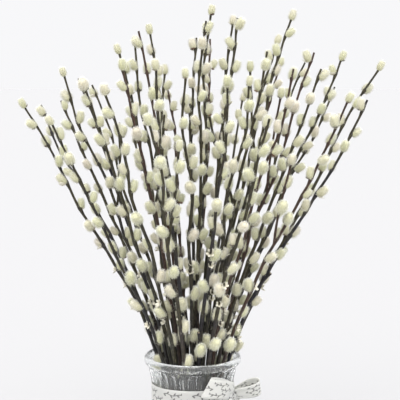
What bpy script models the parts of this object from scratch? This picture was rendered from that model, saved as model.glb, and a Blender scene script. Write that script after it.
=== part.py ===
"""Dried pussy willow branches standing in a flared glass vase with a ribbon tied round its neck.

Metres, +Z up. The origin is the middle of the vase's foot, and the viewer of the photograph looks along +Y.
Each branch is one closed solid: a tapering stem, a side shoot on some, and catkins sunk into them.
"""

import math
import random

import bmesh
import bpy
import numpy as np
from mathutils import Matrix, Vector

MM = 0.001
SEED = 11
GOLDEN_ANGLE = math.pi * (3 - math.sqrt(5))
MERGE = 0.00002

# Vase
VASE_HEIGHT = 190 * MM
RIM_RADIUS = 54 * MM
LIP_THICKNESS = 5.6 * MM
NECK_RADIUS = 45 * MM
NECK_LOW = 130 * MM
NECK_HIGH = 157 * MM
FLARE_POWER = 1.7
BELLY_RADIUS = 62 * MM
BELLY_HEIGHT = 66 * MM
FOOT_RADIUS = 45 * MM
FOOT_ROUNDING = 3 * MM
WALL = 4 * MM
FLOOR = 8 * MM
VASE_SIDES = 32
FLARE_HEIGHTS = (0.7, 0.35)
SHOULDER_HEIGHTS = (0.75, 0.5, 0.25)
BELLY_HEIGHTS = (0.6, 0.15)
LIP_CORNER = 0.15

# Ribbon
RIBBON_WIDTH = 25 * MM
RIBBON_TOP = 159 * MM
RIBBON_TILT = 2 * MM
RIBBON_THICKNESS = 0.8 * MM
RIBBON_GAP = 0.8 * MM
BAND_SIDES = 32
KNOT_TURN = math.radians(-30)
KNOT_SIZE = (13 * MM, 10 * MM, 15 * MM)
KNOT_PINCH = 0.34
KNOT_RISE = 4.5 * MM
LOOP_STEPS = 12
LOOP_END_GAP = 1.5 * MM
LOOP_WIDENING_POWER = 0.3
TAILS = (
    {
        "side": 1,
        "length": 80 * MM,
        "leaves": math.radians(14),
        "arch": 8 * MM,
    },
    {
        "side": -1,
        "length": 66 * MM,
        "leaves": math.radians(-35),
        "arch": 3 * MM,
    },
)
TAIL_POINTS = 60
TAIL_FALL = math.radians(-80)
TAIL_TURN = 0.4
TAIL_OPENING = 0.22
TAIL_STRIDE = 6
TAIL_STAND = 3 * MM
TAIL_DIP = 2 * MM
TAIL_FULL_WIDTH = 0.84

# Loops of the bow: side, length, angle out from the neck, height reached and how soon, width and belly
LOOPS = (
    {
        "side": 1,
        "length": 43 * MM,
        "lean": math.radians(17),
        "slope": 0.55,
        "rise": 0.42,
        "lift": 0.55,
        "width": 0.92,
        "belly": 0.15,
    },
    {
        "side": -1,
        "length": 30 * MM,
        "lean": math.radians(58),
        "slope": 0.35,
        "rise": 0.26,
        "lift": 0.7,
        "width": 0.86,
        "belly": 0.24,
    },
)

# Branches: where each one ends, as across, away from the viewer and up, in millimetres, from left to right
BRANCH_TIPS = [
    (-180, -20, 466),
    (-173, 55, 466),
    (-155, 95, 470),
    (-140, -100, 452),
    (-134, -45, 500),
    (-127, 30, 496),
    (-120, 110, 488),
    (-112, -80, 496),
    (-84, -130, 482),
    (-80, 10, 524),
    (-75, 138, 468),
    (-72, -60, 506),
    (-66, 65, 534),
    (-57, -25, 546),
    (-47, 25, 546),
    (-40, -152, 454),
    (-35, -110, 506),
    (-32, 125, 490),
    (-6, -95, 498),
    (4, 65, 542),
    (15, -40, 556),
    (20, 10, 566),
    (20, 108, 542),
    (35, -128, 490),
    (45, 40, 557),
    (48, -25, 560),
    (58, -80, 490),
    (60, 145, 470),
    (75, -140, 458),
    (78, -50, 524),
    (94, 45, 535),
    (102, -92, 506),
    (103, 105, 512),
    (107, 0, 560),
    (129, 70, 514),
    (130, -15, 524),
    (133, -64, 506),
    (156, -98, 474),
    (165, 30, 517),
    (166, 95, 486),
    (184, -40, 474),
    (204, 10, 506),
]
FAN_ACROSS = 205 * MM
FAN_DEEP = 155 * MM
FAN_START = 162 * MM
NECK_PACK_RADIUS = 37 * MM
FOOT_PACK_RADIUS = 33 * MM
NECK_SPACING = 9.6 * MM
SPREADING_STEPS = 400
SPREADING_PUSH = 0.3
TWIST = math.radians(52)
LOW_SLOPE = 0.5
SLOPE_SHARE = 0.4
WANDER = 7 * MM
WANDER_GROWTH = 1.3
VASE_BENDS = (0.35, 0.7)
FAN_BENDS = (0.14, 0.3, 0.48, 0.66, 0.84, 1.0)
FOOT_THICKNESS = 5.4 * MM
TIP_THICKNESS = 2.2 * MM
TAPER_POWER = 1.2
THICKNESS_SPREAD = (0.9, 1.08)
UPRIGHT_FOOT = 10 * MM
REST_GAP = 0.3 * MM
STEM_STEPS = 220
CURVE_STEPS = 55
LOW_STEM_POINTS = (0, 3, 26, 52, 76, 96, 118)
SOLID_STEM_GROWTH = 1.1

# Side shoots: the branch each grows from, and where along it
SHOOTS = (
    (4, 0.70),
    (9, 0.66),
    (12, 0.74),
    (15, 0.70),
    (19, 0.66),
    (24, 0.72),
    (29, 0.68),
    (33, 0.72),
    (35, 0.70),
    (37, 0.66),
)
SHOOT_LENGTH = 105 * MM
SHOOT_LENGTH_SPREAD = (0.85, 1.1)
SHOOT_ANGLE = math.radians(18)
SHOOT_BENDS = (0, 0.25, 0.5, 0.75, 1)
SHOOT_UPTURN = 0.85
SHOOT_SIDES_TRIED = 16
SHOOT_START_SHARE = 0.85
SHOOT_STEPS = 50
SHOOT_TEST_STEP = 5
OUTWARD_COST = 0.35

# Catkins
CATKIN_LENGTH = 13 * MM
CATKIN_WIDTH = 10.4 * MM
CATKIN_SIZE_SPREAD = (0.9, 1.08)
CATKIN_LOW_GROWTH = 0.22
CATKIN_SPACING = 24 * MM
CATKIN_SPACING_SPREAD = (0.72, 1.22)
CATKIN_LOW_THINNING = 3.2
CATKIN_LEAN = math.radians(32)
CATKIN_LEAN_SPREAD = (0.65, 1.3)
CATKIN_LOW_LEAN = 0.45
CATKIN_LOWEST = 168 * MM
CATKIN_SINK = 1.6 * MM
CATKIN_STAND = 0.9
CATKIN_GAP = 1.2 * MM
OWN_CATKIN_OVERLAP = 0.5 * MM
TURNS_TRIED = (0, 0.4, -0.4, 0.8, -0.8, 1.3, -1.3, 1.9, -1.9, 2.5, -2.5, 3.1)
TIP_CATKIN_SIZE = 0.9
TIP_CATKIN_LEAN = (0.05, 0.2)
BARE_TIP_SHARE = 0.45
BARE_TIP_LENGTH = (8 * MM, 16 * MM)
SHOOT_BARE_FOOT = 12 * MM
BALL_PLACES = (0.30, 0.52, 0.76)
BALL_SIZES = (0.44, 0.5, 0.40)
SOLID_CATKIN_SHARE = 0.39
CATKIN_GROWTH = 1.06
CATKIN_TAPER = 0.12

# Colours, as linear red, green and blue
BARK_COLOUR = (0.045, 0.036, 0.028)
GLASS_COLOUR = (0.85, 0.88, 0.88)
RIBBON_COLOUR = (0.80, 0.79, 0.73)


def smoothstep(x):
    x = min(max(x, 0.0), 1.0)
    return x * x * (3 - 2 * x)


def vase_radius(z):
    """Outer radius of the vase at height z."""
    if z >= NECK_HIGH:
        flare = (z - NECK_HIGH) / (VASE_HEIGHT - NECK_HIGH)
        return NECK_RADIUS + (RIM_RADIUS - NECK_RADIUS) * flare**FLARE_POWER
    if z >= NECK_LOW:
        return NECK_RADIUS
    if z >= BELLY_HEIGHT:
        rise = (z - BELLY_HEIGHT) / (NECK_LOW - BELLY_HEIGHT)
        return BELLY_RADIUS + (NECK_RADIUS - BELLY_RADIUS) * smoothstep(rise)
    return FOOT_RADIUS + (BELLY_RADIUS - FOOT_RADIUS) * math.sin(z / BELLY_HEIGHT * math.pi / 2)


def spread_in_neck():
    """Where each branch passes the neck: on its tip's side of the axis, pushed apart until none touch."""
    tips = np.array(BRANCH_TIPS)[:, :2] * MM
    home = tips / (FAN_ACROSS, FAN_DEEP) * NECK_PACK_RADIUS
    for _ in range(SPREADING_STEPS):
        apart = home[:, None] - home[None]
        distance = np.hypot(apart[..., 0], apart[..., 1]) + np.eye(len(home))
        push = np.clip(NECK_SPACING - distance, 0, None) * (1 - np.eye(len(home)))
        home = home + SPREADING_PUSH * (apart / distance[..., None] * push[..., None]).sum(axis=1)
        radius = np.hypot(home[:, 0], home[:, 1])
        home = home * np.minimum(1, NECK_PACK_RADIUS / np.maximum(radius, MERGE))[:, None]
    return home


def turned(point, angle):
    c, s = math.cos(angle), math.sin(angle)
    return np.array([c * point[0] - s * point[1], s * point[0] + c * point[1]])


def fan_share(s):
    """How far a branch has come from the neck to its tip sideways, at the share s of its height."""
    high_slope = (1 - LOW_SLOPE * SLOPE_SHARE / 2) / (1 - SLOPE_SHARE / 2)
    u = min(s / SLOPE_SHARE, 1.0)
    bent = SLOPE_SHARE * (u**3 - u**4 / 2) + max(s - SLOPE_SHARE, 0.0)
    return LOW_SLOPE * s + (high_slope - LOW_SLOPE) * bent


def smooth_path(knots, steps):
    """Points evenly spaced along a smooth curve through the knots, however far apart the knots are."""
    knots = np.array(knots)
    gaps = np.linalg.norm(np.diff(knots, axis=0), axis=1)
    slopes = np.diff(knots, axis=0) / gaps[:, None]
    nearer = (gaps[1:] / (gaps[1:] + gaps[:-1]))[:, None]
    tangents = np.vstack([slopes[:1], slopes[:-1] * nearer + slopes[1:] * (1 - nearer), slopes[-1:]])
    t = np.linspace(0, 1, CURVE_STEPS, endpoint=False)[:, None]
    points = []
    for k, gap in enumerate(gaps):
        leaving = (t - 2 * t**2 + t**3) * gap * tangents[k]
        reaching = (t**3 - t**2) * gap * tangents[k + 1]
        points.append(knots[k] + (3 * t**2 - 2 * t**3) * (knots[k + 1] - knots[k]) + leaving + reaching)
    points = np.vstack([*points, knots[-1:]])
    along = np.concatenate([[0], np.cumsum(np.linalg.norm(np.diff(points, axis=0), axis=1))])
    wanted = np.linspace(0, along[-1], steps)
    return np.stack([np.interp(wanted, along, points[:, k]) for k in range(3)], axis=1)


def stem_path(home, tip, rng):
    """The centre line of one branch, from the vase's floor through the neck to its tip."""
    tip = np.array(tip) * MM
    gather = FOOT_PACK_RADIUS / NECK_PACK_RADIUS
    base = FLOOR + REST_GAP
    foot = turned(home, -TWIST) * gather
    knots = [(*foot, base), (*foot, base + UPRIGHT_FOOT)]
    for share in VASE_BENDS:
        sideways = turned(home, -TWIST * (1 - share) ** 2) * gather
        knots.append((*sideways, base + (FAN_START - base) * share))
    knots.append((*home, FAN_START))
    for share in FAN_BENDS:
        wander = np.array([rng.uniform(-1, 1), rng.uniform(-1, 1)]) * WANDER * share**WANDER_GROWTH
        sideways = home + (tip[:2] - home) * fan_share(share) + wander * (share < 1)
        knots.append((*sideways, FAN_START + (tip[2] - FAN_START) * share))
    return smooth_path(knots, STEM_STEPS)


def direction_at(path, k):
    """Unit direction of a path at its point k."""
    d = path[min(k + 1, len(path) - 1)] - path[max(k - 1, 0)]
    return d / np.linalg.norm(d)


def sideways_of(direction, angle):
    """A unit direction square to the one given, at an angle round it."""
    across = np.cross(direction, (0.0, 1.0, 0.0))
    across /= np.linalg.norm(across)
    over = np.cross(across, direction)
    return across * math.cos(angle) + over * math.sin(angle)


def shoot_path(path, share, angle, length):
    """The centre line of a side shoot, which leaves the branch at a share of its length and bends upwards."""
    k = int(share * (len(path) - 1))
    d = direction_at(path, k)
    reach = sideways_of(d, angle) * length * math.tan(SHOOT_ANGLE)
    knots = [path[k] + d * length * t + reach * t**SHOOT_UPTURN for t in SHOOT_BENDS]
    return smooth_path(knots, SHOOT_STEPS)


def roomiest_shoot(parent, share, axes, rng):
    """The side shoot of a branch that stays furthest from the other stems, without leaving the bunch."""
    others = np.vstack([a["path"] for a in axes if a is not parent])

    def room(path):
        nearest = np.linalg.norm(others[None] - path[::SHOOT_TEST_STEP, None], axis=2).min()
        return nearest - OUTWARD_COST * np.linalg.norm(path[-1][:2])

    turns = [turn * 2 * math.pi / SHOOT_SIDES_TRIED for turn in range(SHOOT_SIDES_TRIED)]
    tried = []
    for turn in turns:
        length = SHOOT_LENGTH * rng.uniform(*SHOOT_LENGTH_SPREAD)
        tried.append(shoot_path(parent["path"], share, turn, length))
    return max(tried, key=room)


def all_axes():
    """The centre lines of the bunch, each with its branch's number and its radius at every point."""
    rng = random.Random(SEED)
    axes = []
    for number, (home, tip) in enumerate(zip(spread_in_neck(), BRANCH_TIPS)):
        path = stem_path(home, tip, rng)
        stout = rng.uniform(*THICKNESS_SPREAD)
        taper = np.linspace(0, 1, len(path)) ** TAPER_POWER
        radii = stout * (FOOT_THICKNESS + (TIP_THICKNESS - FOOT_THICKNESS) * taper) / 2
        axes.append({"branch": number, "path": path, "radii": radii, "shoot": False})
    for number, share in SHOOTS:
        parent = axes[number]
        path = roomiest_shoot(parent, share, axes, rng)
        start = parent["radii"][int(share * (len(parent["radii"]) - 1))] * SHOOT_START_SHARE
        radii = np.linspace(start, TIP_THICKNESS / 2, len(path))
        axes.append({"branch": number, "path": path, "radii": radii, "shoot": True})
    return axes


def catkin_balls(catkin):
    """Centres and radii of the three balls that fill a catkin, to test what it touches."""
    centres = catkin["root"] + np.outer(BALL_PLACES, catkin["axis"]) * catkin["length"]
    return centres, np.array(BALL_SIZES) * catkin["width"]


def clear_of_vase(centres, radii):
    for (x, y, z), r in zip(centres, radii):
        out = math.hypot(x, y)
        lip = math.hypot(out - RIM_RADIUS + LIP_THICKNESS / 2, z - VASE_HEIGHT + LIP_THICKNESS / 2)
        if lip < r + LIP_THICKNESS / 2 + CATKIN_GAP:
            return False
        if z < VASE_HEIGHT and out + r + CATKIN_GAP > vase_radius(z) - WALL:
            return False
    return True


def is_clear(catkin, stem_points, stem_radii, stem_branches, balls, ball_radii, ball_branches):
    """Whether a catkin stays clear of the vase, of every other branch and of the catkins placed before it."""
    centres, radii = catkin_balls(catkin)
    if not clear_of_vase(centres, radii):
        return False
    strange = stem_branches != catkin["branch"]
    gaps = np.linalg.norm(stem_points[None] - centres[:, None], axis=2) - stem_radii - radii[:, None]
    if (gaps[:, strange] < CATKIN_GAP).any():
        return False
    if not len(balls):
        return True
    gaps = np.linalg.norm(balls[None] - centres[:, None], axis=2) - ball_radii - radii[:, None]
    own = np.where(ball_branches == catkin["branch"], -OWN_CATKIN_OVERLAP, CATKIN_GAP)
    return not (gaps < own).any()


def catkin_at(axis, k, angle, lean, size, at_tip):
    """A catkin that leaves point k of a centre line at an angle round it, from beside the stem or its tip."""
    d = direction_at(axis["path"], k)
    away = sideways_of(d, angle)
    pointing = d * math.cos(lean) + away * math.sin(lean)
    stand = 0.0 if at_tip else axis["radii"][k] * CATKIN_STAND
    return {
        "branch": axis["branch"],
        "shoot": axis["shoot"],
        "root": axis["path"][k] - d * CATKIN_SINK + away * stand,
        "axis": pointing / np.linalg.norm(pointing),
        "length": CATKIN_LENGTH * size,
        "width": CATKIN_WIDTH * size,
        "k": k,
    }


def place_catkins(axes):
    """Catkins up every stem and shoot, in a spiral, each turned to the nearest side where it has room."""
    rng = random.Random(SEED + 1)
    points = np.vstack([a["path"] for a in axes])
    radii = np.concatenate([a["radii"] for a in axes])
    owners = np.concatenate([[a["branch"]] * len(a["path"]) for a in axes])
    balls, ball_radii, ball_owners = np.zeros((0, 3)), np.zeros(0), np.zeros(0)
    placed = []
    for axis in axes:
        path = axis["path"]
        length = np.linalg.norm(np.diff(path, axis=0), axis=1).sum()
        turn = rng.uniform(0, 2 * math.pi)
        bare = rng.random() < BARE_TIP_SHARE
        down = rng.uniform(*BARE_TIP_LENGTH) if bare else 0.0
        lowest = length - (SHOOT_BARE_FOOT if axis["shoot"] else 0)
        first = True
        while down < lowest:
            k = int(round((1 - down / length) * (len(path) - 1)))
            if path[k][2] < CATKIN_LOWEST:
                break
            at_tip = first and not bare
            size = rng.uniform(*CATKIN_SIZE_SPREAD) * (1 + CATKIN_LOW_GROWTH * down / length)
            size *= TIP_CATKIN_SIZE if at_tip else 1.0
            lean = CATKIN_LEAN * rng.uniform(*CATKIN_LEAN_SPREAD)
            lean *= 1 - (1 - CATKIN_LOW_LEAN) * down / length
            lean = rng.uniform(*TIP_CATKIN_LEAN) if at_tip else lean
            for aside in TURNS_TRIED:
                catkin = catkin_at(axis, k, turn + aside, lean, size, at_tip)
                if is_clear(catkin, points, radii, owners, balls, ball_radii, ball_owners):
                    centres, widths = catkin_balls(catkin)
                    balls = np.vstack([balls, centres])
                    ball_radii = np.concatenate([ball_radii, widths])
                    ball_owners = np.concatenate([ball_owners, [catkin["branch"]] * len(widths)])
                    catkin["first"] = first
                    placed.append(catkin)
                    turn += aside
                    break
            turn += GOLDEN_ANGLE
            thinning = 1 + CATKIN_LOW_THINNING * (down / length) ** 2
            down += CATKIN_SPACING * rng.uniform(*CATKIN_SPACING_SPREAD) * thinning
            first = False
    return placed


def material(name, colour, roughness, transmission=0.0):
    made = bpy.data.materials.new(name)
    made.use_nodes = True
    shader = made.node_tree.nodes["Principled BSDF"]
    shader.inputs["Base Color"].default_value = (*colour, 1)
    shader.inputs["Roughness"].default_value = roughness
    shader.inputs["Metallic"].default_value = 0.0
    shader.inputs["Transmission Weight"].default_value = transmission
    return made


def add_object(name, data, collection):
    made = bpy.data.objects.new(name, data)
    collection.objects.link(made)
    return made


def mesh_of(name, obj):
    """The evaluated shape of an object as a mesh of its own, with its caps welded. The object is removed."""
    graph = bpy.context.evaluated_depsgraph_get()
    mesh = bpy.data.meshes.new_from_object(obj.evaluated_get(graph))
    mesh.transform(obj.matrix_world)
    mesh.name = name
    bpy.data.objects.remove(obj)
    made = bmesh.new()
    made.from_mesh(mesh)
    bmesh.ops.remove_doubles(made, verts=made.verts, dist=MERGE)
    bmesh.ops.recalc_face_normals(made, faces=made.faces)
    made.to_mesh(mesh)
    made.free()
    return mesh


def stem_curve(axis, picked, collection):
    """A tapering tube along the picked points of a centre line, as a curve with filled caps."""
    curve = bpy.data.curves.new("stem", "CURVE")
    curve.dimensions = "3D"
    curve.bevel_depth = 1.0
    curve.bevel_resolution = 0
    curve.use_fill_caps = True
    path, radii = axis["path"], axis["radii"]
    spline = curve.splines.new("POLY")
    spline.points.add(len(picked) - 1)
    for point, k in zip(spline.points, picked):
        point.co = (*path[k], 1)
        point.radius = radii[k] * SOLID_STEM_GROWTH
    return add_object("stem", curve, collection)


def catkin_mesh():
    """An egg with its root at the origin and its tip at (0, 0, 1), one wide at its fullest."""
    egg = bmesh.new()
    bmesh.ops.create_icosphere(egg, subdivisions=1, radius=0.5)
    for vert in egg.verts:
        vert.co.z += 0.5
        taper = 1.0 - CATKIN_TAPER * (vert.co.z - 0.5)
        vert.co.x *= taper * CATKIN_GROWTH
        vert.co.y *= taper * CATKIN_GROWTH
    mesh = bpy.data.meshes.new("catkin")
    egg.to_mesh(mesh)
    egg.free()
    return mesh


def placed_catkin(catkin, mesh, collection):
    made = add_object("catkin", mesh, collection)
    turn = Vector(catkin["axis"]).to_track_quat("Z", "Y").to_matrix().to_4x4()
    size = Matrix.Diagonal((catkin["width"], catkin["width"], catkin["length"], 1))
    made.matrix_world = Matrix.Translation(catkin["root"]) @ turn @ size
    return made


def union(obj, pieces):
    """Joins every object of a collection to obj, and removes them."""
    join = obj.modifiers.new("join", "BOOLEAN")
    join.operation = "UNION"
    join.operand_type = "COLLECTION"
    join.collection = pieces
    join.solver = "MANIFOLD"
    bpy.context.view_layer.update()
    graph = bpy.context.evaluated_depsgraph_get()
    joined = bpy.data.meshes.new_from_object(obj.evaluated_get(graph))
    obj.modifiers.remove(join)
    obj.data = joined
    for piece in list(pieces.objects):
        bpy.data.objects.remove(piece)


def add_branch(number, axes, catkins, egg, bark, parts, pieces):
    """One branch: its stem, with its shoots and catkins joined to it."""
    own = [a for a in axes if a["branch"] == number]
    last = len(own[0]["path"]) - 1
    forks = [int(share * last) for branch, share in SHOOTS if branch == number]
    picked = {*LOW_STEM_POINTS, last, *forks, *(c["k"] for c in catkins if not c["shoot"])}
    stem = stem_curve(own[0], sorted(picked), parts)
    bpy.context.view_layer.update()
    branch = add_object(f"branch_{number + 1:02d}", mesh_of("branch", stem), parts)
    for shoot in own[1:]:
        picked = {0, len(shoot["path"]) - 1, *(c["k"] for c in catkins if c["shoot"])}
        twig = stem_curve(shoot, sorted(picked), parts)
        bpy.context.view_layer.update()
        add_object("twig", mesh_of("twig", twig), pieces)
    for catkin in catkins:
        placed_catkin(catkin, egg, pieces)
    union(branch, pieces)
    branch.data.materials.clear()
    branch.data.materials.append(bark)


def solid_catkins(catkins):
    """The catkins of the solids: an even share of each branch's, with those at the tips."""
    kept, credit = [], 0.5
    for catkin in catkins:
        credit += SOLID_CATKIN_SHARE
        if catkin["first"] or credit >= 1:
            kept.append(catkin)
            credit -= 1
    return kept


def vase_profile():
    """The vase's outline from the lip down its outer side, along the foot, and up the inside."""
    heights = [NECK_HIGH + (VASE_HEIGHT - NECK_HIGH) * share for share in FLARE_HEIGHTS]
    heights += [NECK_HIGH, NECK_LOW]
    heights += [BELLY_HEIGHT + (NECK_LOW - BELLY_HEIGHT) * share for share in SHOULDER_HEIGHTS]
    heights += [BELLY_HEIGHT]
    heights += [BELLY_HEIGHT * share for share in BELLY_HEIGHTS]
    r, lip = RIM_RADIUS, LIP_THICKNESS
    corner = lip * LIP_CORNER
    rim = [(r - lip / 2, VASE_HEIGHT), (r - corner, VASE_HEIGHT - corner), (r, VASE_HEIGHT - lip / 2)]
    outer = [(vase_radius(z), z) for z in heights]
    foot = [(FOOT_RADIUS, FOOT_ROUNDING), (FOOT_RADIUS - FOOT_ROUNDING, 0.0), (0.0, 0.0)]
    inner = [(0.0, FLOOR), (FOOT_RADIUS - 2 * WALL, FLOOR)]
    inner += [(vase_radius(z) - WALL, max(z, FLOOR + FOOT_ROUNDING)) for z in heights[::-1]]
    inner += [(r - lip, VASE_HEIGHT - lip), (r - lip + corner, VASE_HEIGHT - corner)]
    return rim + outer + foot + inner


def add_vase(glass, parts):
    profile = bpy.data.meshes.new("vase")
    points = vase_profile()
    loop = [(k, k + 1) for k in range(len(points) - 1)] + [(len(points) - 1, 0)]
    loop = [pair for pair in loop if points[pair[0]][0] or points[pair[1]][0]]
    profile.from_pydata([(x, 0, z) for x, z in points], loop, [])
    vase = add_object("vase", profile, parts)
    screw = vase.modifiers.new("turning", "SCREW")
    screw.steps = screw.render_steps = VASE_SIDES
    screw.use_merge_vertices = True
    screw.merge_threshold = MERGE
    profile.materials.append(glass)


def ribbon_strip(name, line, widths, ups, collection):
    """A strip of ribbon along a line, with its width and the direction of that width at each point."""
    mesh = bpy.data.meshes.new(name)
    edges = []
    for point, width, up in zip(line, widths, ups):
        half = Vector(up).normalized() * width / 2
        edges += [point - half, point + half]
    faces = [(2 * k, 2 * k + 2, 2 * k + 3, 2 * k + 1) for k in range(len(line) - 1)]
    mesh.from_pydata([tuple(e) for e in edges], [], faces)
    return thickened(name, mesh, collection)


def thickened(name, mesh, collection):
    """An open sheet of ribbon given its thickness."""
    sheet = add_object(name, mesh, collection)
    thick = sheet.modifiers.new("thickness", "SOLIDIFY")
    thick.thickness = RIBBON_THICKNESS
    thick.offset = 0.0
    bpy.context.view_layer.update()
    return add_object(name, mesh_of(name, sheet), collection)


def knot_frame():
    """The knot's middle and its directions: out from the vase, along the neck towards the viewer, and up."""
    out = Vector((math.cos(KNOT_TURN), math.sin(KNOT_TURN), 0))
    along = Vector((math.sin(KNOT_TURN), -math.cos(KNOT_TURN), 0))
    up = Vector((0, 0, 1))
    height = RIBBON_TOP - RIBBON_WIDTH / 2 + KNOT_RISE
    middle = out * (NECK_RADIUS + RIBBON_GAP + KNOT_SIZE[1] / 2) + up * height
    return middle, out, along, up


def bow_loop(loop, collection):
    """One loop of the bow, which leaves the knot round the neck and outwards, and comes back to it."""
    middle, _, _, up = knot_frame()
    start = middle.to_2d().length
    side, length, lean = loop["side"], loop["length"], loop["lean"]
    line, widths, ups = [], [], []
    for k in range(LOOP_STEPS + 1):
        t = k / LOOP_STEPS * 2 * math.pi
        full = math.sin(t / 2) ** 2
        reach = full * length
        belly = math.sin(t) * full * length * loop["belly"] + LOOP_END_GAP * math.cos(t / 2)
        angle = KNOT_TURN - side * reach * math.cos(lean) / start
        radial = Vector((math.cos(angle), math.sin(angle), 0))
        onward = radial.cross(up) * side * math.cos(lean) + radial * math.sin(lean) + up * loop["slope"]
        onward.normalize()
        away = (radial - onward * radial.dot(onward)).normalized()
        height = middle.z + loop["rise"] * length * full ** loop["lift"]
        centre = radial * (start + reach * math.sin(lean)) + up * height
        line.append(centre + away * belly)
        widening = full**LOOP_WIDENING_POWER
        widths.append(RIBBON_WIDTH * (KNOT_PINCH + (loop["width"] - KNOT_PINCH) * widening))
        ups.append(onward.cross(away))
    return ribbon_strip("loop", line, widths, ups, collection)


def tail_line(tail):
    """Points down the middle of one end of the ribbon, which leaves the knot sideways and turns down."""
    middle = knot_frame()[0]
    start = middle.to_2d().length
    aside, height = 0.0, middle.z
    points = []
    for k in range(TAIL_POINTS + 1):
        t = k / TAIL_POINTS
        surface = vase_radius(max(height, BELLY_HEIGHT)) + TAIL_STAND
        radius = start + max(surface - start, -TAIL_DIP) * smoothstep(2 * t)
        radius += tail["arch"] * math.sin(math.pi * min(2 * t, 1.0))
        angle = KNOT_TURN - tail["side"] * aside / start
        points.append(Vector((math.cos(angle) * radius, math.sin(angle) * radius, height)))
        heading = tail["leaves"] + (TAIL_FALL - tail["leaves"]) * smoothstep(t / TAIL_TURN)
        aside += math.cos(heading) * tail["length"] / TAIL_POINTS
        height += math.sin(heading) * tail["length"] / TAIL_POINTS
    return points


def tail_width(t):
    return RIBBON_WIDTH * (KNOT_PINCH + (TAIL_FULL_WIDTH - KNOT_PINCH) * smoothstep(t / TAIL_OPENING))


def tail_directions(points, k):
    """Across the ribbon and out of its face, at point k of the middle of one of its ends."""
    onward = (points[min(k + 1, len(points) - 1)] - points[max(k - 1, 0)]).normalized()
    radial = Vector((points[k].x, points[k].y, 0)).normalized()
    across = radial.cross(onward).normalized()
    return across, onward.cross(across)


def bow_tail(tail, collection):
    """One end of the ribbon, which hangs from the knot down the vase's side."""
    points = tail_line(tail)
    picked = range(0, TAIL_POINTS + 1, TAIL_STRIDE)
    widths = [tail_width(k / TAIL_POINTS) for k in picked]
    ups = [tail_directions(points, k)[0] for k in picked]
    return ribbon_strip("tail", [points[k] for k in picked], widths, ups, collection)


def band_mesh():
    """The ribbon's turn round the neck, as an open sheet."""
    radius = NECK_RADIUS + RIBBON_GAP + RIBBON_THICKNESS / 2
    ring = []
    for k in range(BAND_SIDES):
        angle = 2 * math.pi * k / BAND_SIDES
        drop = RIBBON_TILT * math.sin(angle)
        for z in (RIBBON_TOP - RIBBON_WIDTH, RIBBON_TOP):
            ring.append((math.cos(angle) * radius, math.sin(angle) * radius, z - drop))
    count = len(ring)
    faces = [(k, (k + 2) % count, (k + 3) % count, k + 1) for k in range(0, count, 2)]
    band = bpy.data.meshes.new("band")
    band.from_pydata(ring, [], faces)
    return band


def add_knot(pieces):
    middle, out, along, up = knot_frame()
    ball = bmesh.new()
    bmesh.ops.create_icosphere(ball, subdivisions=2, radius=0.5)
    mesh = bpy.data.meshes.new("knot")
    ball.to_mesh(mesh)
    ball.free()
    knot = add_object("knot", mesh, pieces)
    turn = Matrix((along, out, up)).transposed().to_4x4()
    knot.matrix_world = Matrix.Translation(middle) @ turn @ Matrix.Diagonal((*KNOT_SIZE, 1))


def add_ribbon(cloth, parts, pieces):
    """The ribbon: its turn round the neck, with the knot, loops and ends of its bow joined to it."""
    ribbon = thickened("ribbon", band_mesh(), parts)
    for loop in LOOPS:
        bow_loop(loop, pieces)
    for tail in TAILS:
        bow_tail(tail, pieces)
    add_knot(pieces)
    union(ribbon, pieces)
    ribbon.data.materials.clear()
    ribbon.data.materials.append(cloth)


def main():
    for obj in list(bpy.data.objects):
        bpy.data.objects.remove(obj)
    parts = bpy.data.collections.new("willow_branches_in_vase")
    pieces = bpy.data.collections.new("pieces_to_join")
    for collection in (parts, pieces):
        bpy.context.scene.collection.children.link(collection)
    bark = material("bark", BARK_COLOUR, 0.75)
    add_vase(material("glass", GLASS_COLOUR, 0.04, 1.0), parts)
    add_ribbon(material("ribbon", RIBBON_COLOUR, 0.7), parts, pieces)
    axes = all_axes()
    catkins = place_catkins(axes)
    shown = solid_catkins(catkins)
    egg = catkin_mesh()
    for number in range(len(BRANCH_TIPS)):
        add_branch(number, axes, [c for c in shown if c["branch"] == number], egg, bark, parts, pieces)


main()
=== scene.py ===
"""The looks of a bunch of dried pussy willow branches in a glass vase tied with a ribbon.

Metres, +Z up. The branches' centre lines and catkins are worked out by the same rules as in the solid model.
"""

import random
from functools import partial, reduce
from math import atan2, ceil, cos, hypot, pi, radians, sin, sqrt, tan
from types import SimpleNamespace as Record

import bpy
import numpy as np
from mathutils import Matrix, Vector
from numpy.linalg import norm


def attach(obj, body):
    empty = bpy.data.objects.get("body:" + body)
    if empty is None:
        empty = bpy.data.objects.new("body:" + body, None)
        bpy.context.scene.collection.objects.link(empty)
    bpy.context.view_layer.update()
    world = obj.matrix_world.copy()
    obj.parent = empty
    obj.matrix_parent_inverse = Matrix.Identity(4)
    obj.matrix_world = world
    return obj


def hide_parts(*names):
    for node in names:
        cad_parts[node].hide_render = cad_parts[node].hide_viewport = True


MM = 0.001
TURN = 2 * pi
UP = Vector((0, 0, 1))
SEED = 11
GOLDEN_ANGLE = pi * (3 - sqrt(5))
MERGE = 0.00002

# Camera, set as the photograph was taken
PHOTO_PIXEL = 1.1 * MM
PHOTO_SIZE = 400
VASE_PIXEL_X = 192.5
CAMERA_DISTANCE = 1.2
CAMERA_PITCH = radians(6.5)
CAMERA_AIM_HEIGHT = 363.3 * MM
SENSOR_WIDTH = 36.0

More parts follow.
